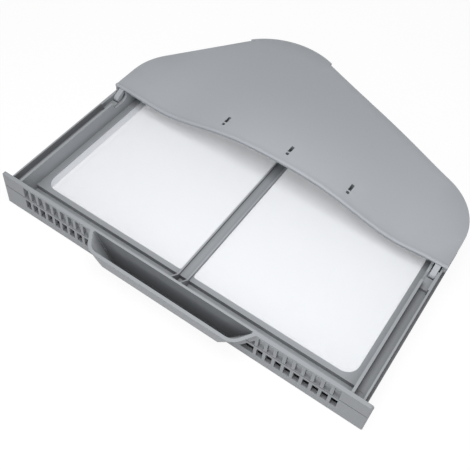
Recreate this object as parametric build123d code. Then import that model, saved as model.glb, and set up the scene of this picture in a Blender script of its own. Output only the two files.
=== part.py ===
from build123d import *
import os
from math import cos, degrees, pi, radians, tan

# Lint filter drawer: a moulded tray with a vented front bar and finger grip, two mesh panels in its floor
# and a domed cover that swings up about two pins near the middle. Millimetres, +X along the bar,
# +Y away from the bar, +Z up. While it is drawn, y = 0 is the bar's front face and z = 0 is its bottom.

# Front bar
bar_length = 380.0
bar_height = 41.0
bar_wall = 3.6
bar_overhang = 6.2
bar_edge_round = 2.0
bar_corner_round = 3.0
bar_foot = 9.0
bar_foot_thickness = 2.0
groove_width = 0.8
groove_depth = 0.4
groove_below_vents = 1.0

# Vents in the bar, the same at both ends
vent_columns = 9
vent_width = 5.8
vent_pitch = 8.72
vent_end_margin = 26.0
vent_top_margin = 2.4
upper_vent_height = 12.5
vent_row_gap = 4.05
lower_vent_height = 11.15
vent_grip_margin = 5.0

# Finger grip, with the run of its flanks from bar to lip at the top and at the foot
grip_flank = 11.5
grip_foot_flank = 26.0
grip_reach = 18.0
grip_lip_drop = 16.0
grip_lip_rake = 2.5
grip_low = 5.0
grip_wall = 3.0
grip_recess = 1.4
grip_inner_corner = 12.0
grip_flank_lean = 30.7

# Plan outline shared by cover edge and tray flange
right_shoulder = 231.3
left_shoulder = 202.0
peak_x = -82.3
peak_y = 342.1
shoulder_radius = 63.0
peak_radius = 75.0

# Tray
floor_low = 18.0
floor_thickness = 2.5
wall_below_bar = 1.0
flange = 2.4
outer_wall = 1.5
outer_wall_drop = 1.5
channel_width = 8.1
inner_wall = 2.4
channel_depth = 9.8
channel_floor_thickness = 2.0
channel_behind_lid_front = 27.4
channel_end_wall = 2.0
block_length = 13.6
block_height = 2.6
block_eye_gap = 1.0
mark_radius = 3.0
mark_depth = 0.3
mark_from_bar = 7.0
gutter_rear = 20.2
gutter_depth = 5.0
gutter_floor = 1.5
cross_rib = 2.0

# Windows, mesh panels and divider
window_ledge = 5.5
window_front_ledge = 5.0
window_corner = 12.0
window_small_corner = 3.5
divider_half = 5.8
divider_rib = 1.6
divider_rib_height = 2.8
divider_web_set = 1.7
divider_web_rise = 13.2
mesh_thickness = 0.8
mesh_edge = 2.5
mesh_clearance = 0.2

# Hinge
pivot_y = 145.0
pin_radius = 1.8
pin_clearance = 0.06
pin_end_gap = 0.2
boss_wall = 2.4
eye_wall = 1.6
eye_floor_gap = 0.4
pad_depth = 1.1
pad_ahead = 20.0
pad_behind = 2.0
arm_width = 5.2
arm_side_gap = 0.4
arm_root = 5.4
notch_ahead = 14.2
notch_lid_gap = 1.1
notch_drop = 2.4
notch_round = 6.0

# Cover
lid_behind_pivot = 7.6
lid_gap = 0.3
lid_skin = 2.5
skirt_drop = 5.3
arch_centre = 5.0
arch_rise = 18.0
arch_sharpness = 1.4
arch_depth = 165.0
dip = 2.0
dip_run = 34.0
dip_wall_margin = 3.4
dip_depth = 70.0
lip_height = 4.0
lip_depth = 3.0
bead_rise = 0.8
bead_depth = 1.8
tab_reach = 2.8
tab_thickness = 2.4
tab_below_rim = 0.4
tab_left_trim = 5.5
slot_width = 3.0
slot_places = (-60.5, 10.5, 76.0)
slot_setback = 10.5
short_slot = 3.0
slot_bridge = 1.6
long_slot = 8.4
slot_box_drop = 6.0
slot_box_wall = 1.2

# Values that follow from the ones above
bar_half = bar_length / 2
half_width = bar_half - bar_overhang
vent_outer = bar_half - vent_end_margin
vent_inner = vent_outer - vent_columns * vent_pitch
grip_half_at_bar = vent_inner
upper_vent_low = bar_height - vent_top_margin - upper_vent_height
lower_vent_low = upper_vent_low - vent_row_gap - lower_vent_height
vent_rows = [(lower_vent_low, lower_vent_height), (upper_vent_low, upper_vent_height)]
outer_wall_x = half_width - flange
channel_outer_x = outer_wall_x - outer_wall
channel_inner_x = channel_outer_x - channel_width
inner_wall_x = channel_inner_x - inner_wall
window_inset = half_width - inner_wall_x + window_ledge
window_front = gutter_rear + window_front_ledge
floor_top = floor_low + floor_thickness
gutter_top = floor_top - gutter_depth
gutter_low = gutter_top - gutter_floor
gutter_end = gutter_rear + cross_rib
rib_inner = divider_half - divider_rib
rib_top = floor_top + divider_rib_height
wall_top = bar_height - wall_below_bar
channel_floor_top = wall_top - channel_depth
channel_floor_low = channel_floor_top - channel_floor_thickness
eye_radius = pin_radius + eye_wall
boss_radius = pin_radius + boss_wall
pivot_z = channel_floor_top + eye_radius + eye_floor_gap
pad_x = channel_outer_x - pad_depth
arm_outer_x = pad_x - arm_side_gap
arm_inner_x = arm_outer_x - arm_width
lid_front = pivot_y + lid_behind_pivot
channel_end = lid_front + channel_behind_lid_front
notch_front = pivot_y - notch_ahead
notch_rear = lid_front - notch_lid_gap
block_rear = pivot_y - eye_radius - block_eye_gap
block_top = channel_floor_top + block_height
skirt = flange - lid_gap
lid_under = wall_top + lid_gap
lid_top = lid_under + lid_skin
skirt_low = lid_under - skirt_drop
dip_end = inner_wall_x - dip_wall_margin
arch_half = dip_end - dip_run
overshoot = 40.0
above_crown = lid_top + arch_rise + overshoot


def block(x0, x1, y0, y1, z0, z1):
    """Box between two corners."""
    return Pos((x0 + x1) / 2, (y0 + y1) / 2, (z0 + z1) / 2) * Box(x1 - x0, y1 - y0, z1 - z0)


def side_piece(profile, x0, x1):
    """Solid from a profile drawn in y and z, between two x positions."""
    return extrude(Plane.YZ.offset(x0) * profile, x1 - x0)


def both_sides(solid):
    """The solid and its mirror image on the other side."""
    return solid + mirror(solid, about=Plane.YZ)


def outline():
    """Closed plan outline of the cover's edge, run on towards the bar."""
    path = FilletPolyline(
        (-half_width, -overshoot),
        (-half_width, left_shoulder),
        (peak_x, peak_y),
        (half_width, right_shoulder),
        (half_width, -overshoot),
        radius=[shoulder_radius, peak_radius, shoulder_radius],
    )
    return make_face(path + Line(path @ 1, path @ 0))


full_outline = outline()
peak_arc = full_outline.edges().filter_by(GeomType.CIRCLE).sort_by(lambda edge: edge.center().Y)[-1]
peak_centre = peak_arc.arc_center


def plan(inset, start):
    """The outline drawn in by an inset, from the line y = start to the rear."""
    face = full_outline if inset == 0 else offset(full_outline, -inset)
    depth = peak_y - start
    return face & Pos(0, start + depth / 2) * Rectangle(2 * bar_half, depth)


def plate(inset, start, low, high):
    """Plate with the inset outline, between two heights."""
    return extrude(Pos(0, 0, low) * plan(inset, start), high - low)


def rim(inset, thickness, start, low, high):
    """Upright wall along sides and rear, its outer face on the inset outline."""
    return plate(inset, start, low, high) - plate(inset + thickness, start - 1, low, high)


def grip_section(inset, z):
    """Plan of the grip at one height."""
    lean = tan(radians(grip_flank_lean)) * (bar_height - z)
    flank = grip_foot_flank + (grip_flank - grip_foot_flank) * z / bar_height
    slant = (flank**2 + grip_reach**2) ** 0.5 / grip_reach
    depth = grip_reach - inset
    back = grip_half_at_bar - lean - inset * slant
    front = back - flank * depth / grip_reach
    corner = grip_inner_corner + grip_wall - inset
    path = FilletPolyline(
        (-back, 0),
        (-front, -depth),
        (front, -depth),
        (back, 0),
        radius=[corner, corner],
    )
    return Pos(0, 0, z) * make_face(path + Line(path @ 1, path @ 0))


def grip_body(inset, top):
    """Grip block, or with an inset the hollow inside it."""
    block_shape = loft([grip_section(inset, 0), grip_section(inset, top)], ruled=True)
    heel_y = grip_reach - grip_lip_rake
    heel_z = bar_height - grip_lip_drop
    slope = (heel_z - grip_low) / heel_y
    profile = make_face(
        Polyline(
            (overshoot, top + overshoot),
            (-grip_reach, top + overshoot),
            (-grip_reach, bar_height),
            (-heel_y, heel_z),
            (overshoot, grip_low - overshoot * slope),
            close=True,
        )
    )
    if inset:
        profile = offset(profile, -inset, kind=Kind.INTERSECTION)
    return block_shape & side_piece(profile, -bar_half, bar_half)


def vent_cuts():
    """Vent openings at the +X end, the last one cut off along the grip."""
    cuts = []
    lean = tan(radians(grip_flank_lean))
    flank_top = grip_half_at_bar + vent_grip_margin
    flank_low = flank_top - lean * bar_height
    beyond = make_face(
        Polyline(
            (flank_low, 0),
            (flank_top, bar_height),
            (bar_half, bar_height),
            (bar_half, 0),
            close=True,
        )
    )
    beside_grip = extrude(Plane.XZ.offset(-overshoot) * beyond, 2 * overshoot)
    for low, height in vent_rows:
        for column in range(vent_columns):
            edge = vent_outer - column * vent_pitch
            cuts.append(block(edge - vent_width, edge, -1, bar_wall + 1, low, low + height))
        cuts.append(block(0, vent_inner, -1, bar_wall + 1, low, low + height) & beside_grip)
    return cuts


def notch():
    """Round-bottomed cut down from the top of the inner wall, beside the hinge."""
    length = notch_rear - notch_front
    low = pivot_z - notch_drop
    height = 2 * (wall_top - low)
    profile = Pos(notch_front + length / 2, low + height / 2) * RectangleRounded(length, height, notch_round)
    return side_piece(profile, inner_wall_x, channel_inner_x)


def round_bar(radius, x0, x1):
    """Round bar on the hinge line."""
    return side_piece(Pos(pivot_y, pivot_z) * Circle(radius), x0, x1)


def window(side):
    """Plan of one window, on the left (-1) or right (+1) of the divider."""
    half = Pos(side * (divider_half + bar_half / 2), peak_y / 2) * Rectangle(bar_half, peak_y)
    face = plan(window_inset, window_front) & half
    outer = face.vertices().sort_by(lambda v: side * v.X - v.Y)[-1]
    face = fillet(outer, window_corner)
    inner = face.vertices().sort_by(lambda v: side * v.X)[:2]
    return fillet(inner, window_small_corner)


def crown_height(x, y):
    """Height of the cover's top surface."""
    across = min(abs(x - arch_centre) / arch_half, 1) ** arch_sharpness
    beyond = min(max((abs(x) - arch_half) / (dip_end - arch_half), 0), 1)
    arch_along = min(max((y - lid_front) / arch_depth, 0), 1)
    dip_along = min(max((y - lid_front) / dip_depth, 0), 1)
    hollow = dip * cos(pi / 2 * dip_along) ** 2
    hump = (arch_rise * cos(pi / 2 * arch_along) ** 2 + hollow) * cos(pi / 2 * across) ** 2
    return lid_top + hump - hollow * cos(pi / 2 * beyond) ** 2


def under_crown():
    """Everything below the cover's top surface, down to well under its skirt."""
    columns = 60
    rows = 24
    width = 2 * (half_width + flange)
    start = notch_front
    depth = peak_y - start
    grid = []
    for i in range(columns + 1):
        x = width * (i / columns - 0.5)
        ys = [start + depth * j / rows for j in range(rows + 1)]
        grid.append([(x, y, crown_height(x, y)) for y in ys])
    surface = Face.make_surface_from_array_of_points(grid, tol=0.01)
    return extrude(surface, 2 * overshoot, dir=(0, 0, -1))


# Frame: bar, grip and tray in one moulding
bar = block(-bar_half, bar_half, 0, bar_wall, 0, bar_height)
front_edges = bar.faces().sort_by(Axis.Y)[0].edges().sort_by(Axis.Z)
bar = fillet(front_edges[:3], bar_edge_round)
bar_shape = block(-bar_half, bar_half, -1, bar_wall, 0, bar_height)
bar &= fillet(bar_shape.edges().filter_by(Axis.Y).group_by(Axis.Z)[-1], bar_corner_round)
groove_low = upper_vent_low - groove_below_vents - groove_width / 2
bar -= block(-bar_half, bar_half, -1, groove_depth, groove_low, groove_low + groove_width)
for cut in vent_cuts():
    bar -= both_sides(cut)
pocket = grip_body(grip_wall, bar_height)
bar -= Pos(0, grip_recess, 0) * pocket
grip = grip_body(0, bar_height) - pocket
grip -= block(-bar_half, bar_half, -overshoot, overshoot, bar_height, bar_height + overshoot)

floor = plate(0, bar_wall, floor_low, floor_top)
floor -= block(-inner_wall_x, inner_wall_x, 0, gutter_rear, floor_low, floor_top)
under_channel = block(
    channel_inner_x, channel_outer_x, 0, channel_end - channel_end_wall, floor_low, floor_top
)
floor -= both_sides(under_channel)
gutter = block(-channel_inner_x, channel_inner_x, bar_wall, gutter_end, gutter_low, gutter_top)
gutter += block(-channel_inner_x, channel_inner_x, gutter_rear, gutter_end, 0, floor_top)
gutter += block(-channel_inner_x, channel_inner_x, bar_wall, bar_wall + bar_foot, 0, bar_foot_thickness)
lower_rim = rim(half_width - channel_inner_x, inner_wall, bar_wall, 0, floor_low)

outer_rim = rim(flange, outer_wall, bar_wall, floor_low, wall_top)
pad = block(
    pad_x, channel_outer_x, pivot_y - pad_ahead, pivot_y + pad_behind, channel_floor_low, wall_top
)
outer_rim += both_sides(pad)
ahead_of_lid = block(pad_x - 1, half_width, 0, notch_rear, wall_top - outer_wall_drop, bar_height)
outer_rim -= both_sides(ahead_of_lid)
outer_rim += both_sides(round_bar(boss_radius, pad_x, outer_wall_x))

rail = block(inner_wall_x, channel_inner_x, bar_wall, channel_end, floor_low, wall_top)
rail -= notch()
rail += block(inner_wall_x, channel_outer_x, bar_wall, channel_end, channel_floor_low, channel_floor_top)
mark = Pos((channel_inner_x + channel_outer_x) / 2, bar_wall + mark_from_bar, channel_floor_top)
rail -= mark * Cylinder(mark_radius, 2 * mark_depth)
rail += block(
    inner_wall_x, channel_outer_x, channel_end - channel_end_wall, channel_end, floor_low, wall_top
)
rail += block(
    channel_inner_x, channel_outer_x, block_rear - block_length, block_rear, channel_floor_low, block_top
)

ribs = block(rib_inner, divider_half, gutter_rear, peak_y, floor_low, rib_top)
web_profile = make_face(
    Polyline(
        (bar_wall, gutter_low),
        (bar_wall, rib_top + divider_web_rise),
        (gutter_rear - divider_web_set, rib_top),
        (gutter_end, rib_top),
        (gutter_end, gutter_low),
        close=True,
    )
)
ribs = both_sides(ribs) & plate(flange, bar_wall, floor_low, rib_top)
webs = both_sides(side_piece(web_profile, rib_inner, divider_half))

frame = bar + grip + floor + gutter + lower_rim + outer_rim + both_sides(rail) + webs + ribs

# Windows with a step underneath for the mesh panels
panels = {}
for name, side in (("left_mesh", -1), ("right_mesh", 1)):
    opening = window(side)
    frame -= extrude(Pos(0, 0, floor_low) * opening, floor_top - floor_low)
    step = offset(opening, mesh_edge)
    frame -= extrude(Pos(0, 0, floor_low) * step, mesh_thickness)
    panel = offset(opening, mesh_edge - mesh_clearance)
    panels[name] = extrude(Pos(0, 0, floor_low) * panel, mesh_thickness)
frame -= both_sides(round_bar(pin_radius + pin_clearance, pad_x - 1, half_width))

# Cover: shell under the crown, with skirt, lip and its bead, tab, hinge arms, pins and slots in blind boxes
under = under_crown()
bead_strip = block(-bar_half, bar_half, notch_front, lid_front + bead_depth, 0, above_crown)
shell = under + (Pos(0, 0, bead_rise) * under & bead_strip)
shell &= plate(0, lid_front, skirt_low, above_crown)
hollow = Pos(0, 0, -lid_skin) * under & plate(skirt, notch_front, 0, above_crown)
lip_keep = block(-dip_end, dip_end, lid_front, lid_front + lip_depth, 0, above_crown)
lip_hollow = Pos(0, 0, -lip_height) * under & lip_keep
shell = shell - (hollow - lip_keep) - lip_hollow

tab_left, tab_right = sorted((peak_arc @ 0 - peak_centre, peak_arc @ 1 - peak_centre), key=lambda p: p.X)
tab_left = tab_left.rotate(Axis.Z, -degrees(tab_left_trim / peak_radius))
wedge = make_face(
    Polyline(
        peak_centre,
        peak_centre + tab_left * 2,
        peak_centre + tab_right * 2,
        close=True,
    )
)
tab_plan = (offset(full_outline, tab_reach) & wedge) - plan(skirt / 2, lid_front)
shell += extrude(Pos(0, 0, lid_top - tab_below_rim - tab_thickness) * tab_plan, tab_thickness)

eye = Pos(pivot_y, pivot_z) * Circle(eye_radius)
root = Polyline((lid_front, lid_top - lid_skin / 2), (lid_front + arm_root, lid_top - lid_skin / 2))
arm = side_piece(make_hull(eye.edges() + root.edges()), arm_inner_x, arm_outer_x)
arm += round_bar(pin_radius, arm_outer_x, outer_wall_x - pin_end_gap)
shell += both_sides(arm)

for place in slot_places:
    slot_y = lid_front + slot_setback
    box_front = slot_y - slot_box_wall
    box_rear = slot_y + short_slot + slot_bridge + long_slot + slot_box_wall
    box_half = slot_width / 2 + slot_box_wall
    box_low = crown_height(place, slot_y) - lid_skin - slot_box_drop
    shell += block(place - box_half, place + box_half, box_front, box_rear, box_low, above_crown) & under
    for length in (short_slot, long_slot):
        slot = Pos(place, slot_y + length / 2, box_low + slot_box_wall) * Rectangle(slot_width, length)
        shell -= extrude(slot, above_crown)
        slot_y += length + slot_bridge
lid = shell

# Move the origin to the middle of the footprint and hand in each piece
rear_reach = peak_centre.Y + peak_radius + tab_reach
shift = Pos(0, (grip_reach - rear_reach) / 2, 0)
os.makedirs("parts", exist_ok=True)
for name, shape in (("frame", frame), ("lid", lid), *panels.items()):
    export_step(shift * shape, f"parts/{name}.step")
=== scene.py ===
from math import radians

import bpy
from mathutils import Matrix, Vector


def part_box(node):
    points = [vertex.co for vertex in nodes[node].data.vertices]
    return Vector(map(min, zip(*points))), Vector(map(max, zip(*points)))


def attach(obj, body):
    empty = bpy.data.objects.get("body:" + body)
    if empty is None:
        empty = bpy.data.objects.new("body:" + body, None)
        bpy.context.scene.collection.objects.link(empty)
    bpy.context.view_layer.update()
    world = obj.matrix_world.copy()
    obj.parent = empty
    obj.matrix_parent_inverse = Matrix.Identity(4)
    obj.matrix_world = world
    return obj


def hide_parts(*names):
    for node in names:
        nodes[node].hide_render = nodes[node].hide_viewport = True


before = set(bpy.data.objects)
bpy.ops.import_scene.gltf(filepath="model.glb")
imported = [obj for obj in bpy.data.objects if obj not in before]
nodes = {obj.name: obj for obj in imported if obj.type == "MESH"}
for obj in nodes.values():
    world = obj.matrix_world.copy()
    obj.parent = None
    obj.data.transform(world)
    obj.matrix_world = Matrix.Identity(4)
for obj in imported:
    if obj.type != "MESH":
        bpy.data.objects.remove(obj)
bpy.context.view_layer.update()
scene = bpy.context.scene

# Plastic, with linear colours, and lengths in metres as everywhere below
LID_GREY = (0.4, 0.42, 0.446)
FRAME_GREY = (0.325, 0.339, 0.357)
PLASTIC_SHINE = 0.35
SMOOTHEST = 0.44
ROUGHEST = 0.56
GRAIN_SCALE = 900
GRAIN_DETAIL = 2
GRAIN_STRENGTH = 0.06
GRAIN_DEPTH = 0.0002
# Painted shade: how dark the plastic's colour is painted in its recesses, and how far that darkening reaches
PAINTED_SHADE_TONE = 0.42
PAINTED_SHADE_REACH = 0.014

# Filter cloth: the share of each face that is thread, and the weave
MESH_WHITE = (0.93, 0.95, 0.99)
MESH_COVER = 0.5
MESH_ROUGHNESS = 0.8
THREAD_PITCH = 0.0008
THREAD_STRENGTH = 0.25
THREAD_DEPTH = 0.0003
WAVE_LENGTH_AT_SCALE_ONE = 0.314

# Rounded edges
WELD_REACH = 0.00001
FRAME_ROUNDING = 0.0004
LID_ROUNDING = 0.0008
ROUNDING_STEPS = 3
SHARP_ANGLE = 40

# Bead along the cover's lip
BEAD_RADIUS = 0.0018
BEAD_SET_IN = 0.0006
BEAD_END_SHARE = 0.85
BEAD_ROUND_STEPS = 4
LIP_HALF_WIDTH = 0.166

# How a face's direction and place are told when the mesh is read
FACES_FRONT = -0.99
FACES_UPWARD = 0.5
SAME_WALL = 0.00002
WALL_DIGITS = 5
SPOT_DIGITS = 6

# Floor and sky
FLOOR_SIZE = 40
FLOOR_DROP = 0.0001
FLOOR_SEEN = (0.1, 0.1, 0.1)
FLOOR_GLOW = 0.92
FLOOR_BOUNCE = (0.85, 0.85, 0.85)
SKY_WHITE = (1, 1, 1)
SKY_LIGHT = 0.26
SKY_SEEN = 1

# Lamps, with power in watts
TOP_LAMP = {"place": (0.06, -0.2, 0.57), "aim": (0.05, -0.07, 0), "size": 0.3, "power": 2.5}
FRONT_LAMP = {"place": (0.2, -1.1, 0.75), "aim": (0, 0, 0), "size": 0.5, "power": 3.2}

# Camera at the photo's angle
CAMERA_PLACE = (0.19241, -0.41608, 0.55352)
CAMERA_TURN = (38.1213, -4.3262, 34.2354)
CAMERA_LENS = 55.89
CAMERA_SHIFT = (0.0081, -0.0582)


def shader(name):
    """New material and its node tree's main pieces."""
    material = bpy.data.materials.new(name)
    material.use_nodes = True
    tree = material.node_tree
    return material, tree, tree.nodes["Principled BSDF"]


def raise_bumps(tree, surface, height, strength, depth):
    """Bumps on a surface from a height pattern."""
    bump = tree.nodes.new("ShaderNodeBump")
    bump.inputs["Strength"].default_value = strength
    bump.inputs["Distance"].default_value = depth
    tree.links.new(height, bump.inputs["Height"])
    tree.links.new(bump.outputs["Normal"], surface.inputs["Normal"])


def larger_of(tree, first, second):
    """The larger of two values."""
    larger = tree.nodes.new("ShaderNodeMath")
    larger.operation = "MAXIMUM"
    tree.links.new(first, larger.inputs[0])
    tree.links.new(second, larger.inputs[1])
    return larger.outputs["Value"]


def plastic(name, colour):
    """Moulded plastic: fine grain, uneven gloss, and painted shade that darkens the colour down in the
    recesses.
    """
    material, tree, surface = shader(name)
    surface.inputs["Specular IOR Level"].default_value = PLASTIC_SHINE
    # Painted shade: ambient occlusion from the piece's own walls darkens the colour in pockets, channels,
    # vents and slots
    painted_shade = tree.nodes.new("ShaderNodeAmbientOcclusion")
    painted_shade.only_local = True
    painted_shade.inputs["Distance"].default_value = PAINTED_SHADE_REACH
    shade_ramp = tree.nodes.new("ShaderNodeValToRGB")
    shade_ramp.color_ramp.elements[0].color = (*[PAINTED_SHADE_TONE * value for value in colour], 1)
    shade_ramp.color_ramp.elements[1].color = (*colour, 1)
    tree.links.new(painted_shade.outputs["AO"], shade_ramp.inputs["Fac"])
    tree.links.new(shade_ramp.outputs["Color"], surface.inputs["Base Color"])
    place = tree.nodes.new("ShaderNodeTexCoord")
    noise = tree.nodes.new("ShaderNodeTexNoise")
    noise.inputs["Scale"].default_value = GRAIN_SCALE
    noise.inputs["Detail"].default_value = GRAIN_DETAIL
    tree.links.new(place.outputs["Object"], noise.inputs["Vector"])
    gloss = tree.nodes.new("ShaderNodeMapRange")
    gloss.inputs["To Min"].default_value = SMOOTHEST
    gloss.inputs["To Max"].default_value = ROUGHEST
    tree.links.new(noise.outputs["Fac"], gloss.inputs["Value"])
    tree.links.new(gloss.outputs["Result"], surface.inputs["Roughness"])
    raise_bumps(tree, surface, noise.outputs["Fac"], GRAIN_STRENGTH, GRAIN_DEPTH)
    return material


def weave(name, colour):
    """Fine woven filter fabric, part thread and part open holes."""
    material, tree, surface = shader(name)
    surface.inputs["Roughness"].default_value = MESH_ROUGHNESS
    surface.inputs["Alpha"].default_value = MESH_COVER
    surface.inputs["Base Color"].default_value = (*colour, 1)
    place = tree.nodes.new("ShaderNodeTexCoord")
    heights = []
    for direction in ("X", "Y"):
        wave = tree.nodes.new("ShaderNodeTexWave")
        wave.bands_direction = direction
        wave.inputs["Scale"].default_value = WAVE_LENGTH_AT_SCALE_ONE / THREAD_PITCH
        tree.links.new(place.outputs["Object"], wave.inputs["Vector"])
        heights.append(wave.outputs["Fac"])
    raise_bumps(tree, surface, larger_of(tree, *heights), THREAD_STRENGTH, THREAD_DEPTH)
    return material


def seen_straight(tree):
    """1 where the camera, a reflection or clear material looks at the surface, 0 for the light it throws."""
    path = tree.nodes.new("ShaderNodeLightPath")
    either = path.outputs["Is Camera Ray"]
    for ray in ("Is Glossy Ray", "Is Transmission Ray"):
        either = larger_of(tree, either, path.outputs[ray])
    return either


def pale_ground(name):
    """White to the camera and in reflections, with the shadow kept; greyer for the light it throws back."""
    material, tree, surface = shader(name)
    tree.nodes.remove(surface)
    bounce = tree.nodes.new("ShaderNodeBsdfDiffuse")
    bounce.inputs["Color"].default_value = (*FLOOR_BOUNCE, 1)
    seen = tree.nodes.new("ShaderNodeBsdfDiffuse")
    seen.inputs["Color"].default_value = (*FLOOR_SEEN, 1)
    glow = tree.nodes.new("ShaderNodeEmission")
    glow.inputs["Strength"].default_value = FLOOR_GLOW
    together = tree.nodes.new("ShaderNodeAddShader")
    choice = tree.nodes.new("ShaderNodeMixShader")
    tree.links.new(seen.outputs["BSDF"], together.inputs[0])
    tree.links.new(glow.outputs["Emission"], together.inputs[1])
    tree.links.new(seen_straight(tree), choice.inputs[0])
    tree.links.new(bounce.outputs["BSDF"], choice.inputs[1])
    tree.links.new(together.outputs["Shader"], choice.inputs[2])
    tree.links.new(choice.outputs["Shader"], tree.nodes["Material Output"].inputs["Surface"])
    return material


def paint(piece, material):
    """One material on the whole piece."""
    piece.data.materials.clear()
    piece.data.materials.append(material)


def soften(piece, width):
    """Small rounding on the sharp edges."""
    weld = piece.modifiers.new("weld", "WELD")
    weld.merge_threshold = WELD_REACH
    bevel = piece.modifiers.new("rounding", "BEVEL")
    bevel.width = width
    bevel.segments = ROUNDING_STEPS
    bevel.limit_method = "ANGLE"
    bevel.angle_limit = radians(SHARP_ANGLE)
    bevel.harden_normals = True


def lip_line(piece):
    """Upper front edge of the cover's lip, from side to side, read from its mesh."""
    mesh = piece.data
    areas = {}
    for polygon in mesh.polygons:
        if polygon.normal.y < FACES_FRONT:
            wall = round(polygon.center.y, WALL_DIGITS)
            areas[wall] = areas.get(wall, 0) + polygon.area
    lip_wall = max(areas, key=areas.get)
    front = set()
    top = set()
    for polygon in mesh.polygons:
        corners = {tuple(round(v, SPOT_DIGITS) for v in mesh.vertices[i].co) for i in polygon.vertices}
        if polygon.normal.y < FACES_FRONT and abs(polygon.center.y - lip_wall) < SAME_WALL:
            front |= corners
        elif polygon.normal.z > FACES_UPWARD:
            top |= corners
    return sorted(spot for spot in front & top if abs(spot[0]) < LIP_HALF_WIDTH)


def lamp(name, place, aim, size, power):
    """Soft square lamp at a place, pointed at a spot."""
    data = bpy.data.lights.new(name, "AREA")
    data.size = size
    data.energy = power
    piece = bpy.data.objects.new(name, data)
    piece.location = place
    piece.rotation_euler = (Vector(aim) - Vector(place)).to_track_quat("-Z", "Y").to_euler()
    scene.collection.objects.link(piece)


# Frame and lid: the loaded pieces themselves, with rounded edges
lid_plastic = plastic("lid_plastic", LID_GREY)
frame_plastic = plastic("frame_plastic", FRAME_GREY)
paint(nodes["frame"], frame_plastic)
paint(nodes["lid"], lid_plastic)
soften(nodes["frame"], FRAME_ROUNDING)
soften(nodes["lid"], LID_ROUNDING)

# Round bead along the cover's lip, thinner at its ends to clear the side rails
bead_data = bpy.data.curves.new("lip_bead", "CURVE")
bead_data.dimensions = "3D"
bead_data.bevel_depth = BEAD_RADIUS
bead_data.bevel_resolution = BEAD_ROUND_STEPS
bead_data.use_fill_caps = True
line = lip_line(nodes["lid"])
low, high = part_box("lid")
left_corner = (low.x, *line[0][1:])
right_corner = (high.x, *line[-1][1:])
spline = bead_data.splines.new("POLY")
spline.points.add(len(line) + 1)
for point, (x, y, z) in zip(spline.points, [left_corner, *line, right_corner]):
    point.co = (x, y + BEAD_SET_IN, z - BEAD_RADIUS, 1)
for point in (spline.points[0], spline.points[-1]):
    point.radius = BEAD_END_SHARE
    point.co.z += BEAD_RADIUS * (1 - BEAD_END_SHARE)
bead = bpy.data.objects.new("lip_bead", bead_data)
scene.collection.objects.link(bead)
paint(bead, lid_plastic)
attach(bead, "cover")

# Filter cloth, stretched in the windows
cloth = weave("filter_cloth", MESH_WHITE)
for name in ("left_mesh", "right_mesh"):
    panel = bpy.data.objects.new(name + "_cloth", nodes[name].data.copy())
    scene.collection.objects.link(panel)
    paint(panel, cloth)
    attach(panel, "tray")
    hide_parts(name)
    low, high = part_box(name)

# Floor, just under the part so that no faces share a plane
bpy.ops.mesh.primitive_plane_add(size=FLOOR_SIZE, location=(0, 0, -FLOOR_DROP))
floor = bpy.context.object
floor.name = "floor"
paint(floor, pale_ground("floor_white"))

# Lamps and sky
lamp("top", **TOP_LAMP)
lamp("front", **FRONT_LAMP)
world = bpy.data.worlds.new("studio")
scene.world = world
world.use_nodes = True
tree = world.node_tree
sky = tree.nodes["Background"]
sky.inputs["Color"].default_value = (*SKY_WHITE, 1)
level = tree.nodes.new("ShaderNodeMapRange")
level.inputs["To Min"].default_value = SKY_LIGHT
level.inputs["To Max"].default_value = SKY_SEEN
tree.links.new(seen_straight(tree), level.inputs["Value"])
tree.links.new(level.outputs["Result"], sky.inputs["Strength"])
scene.view_settings.view_transform = "Standard"

# Camera
camera_data = bpy.data.cameras.new("camera")
camera_data.lens = CAMERA_LENS
camera_data.shift_x = CAMERA_SHIFT[0]
camera_data.shift_y = CAMERA_SHIFT[1]
camera = bpy.data.objects.new("camera", camera_data)
camera.location = CAMERA_PLACE
camera.rotation_euler = [radians(turn) for turn in CAMERA_TURN]
scene.collection.objects.link(camera)
scene.camera = camera
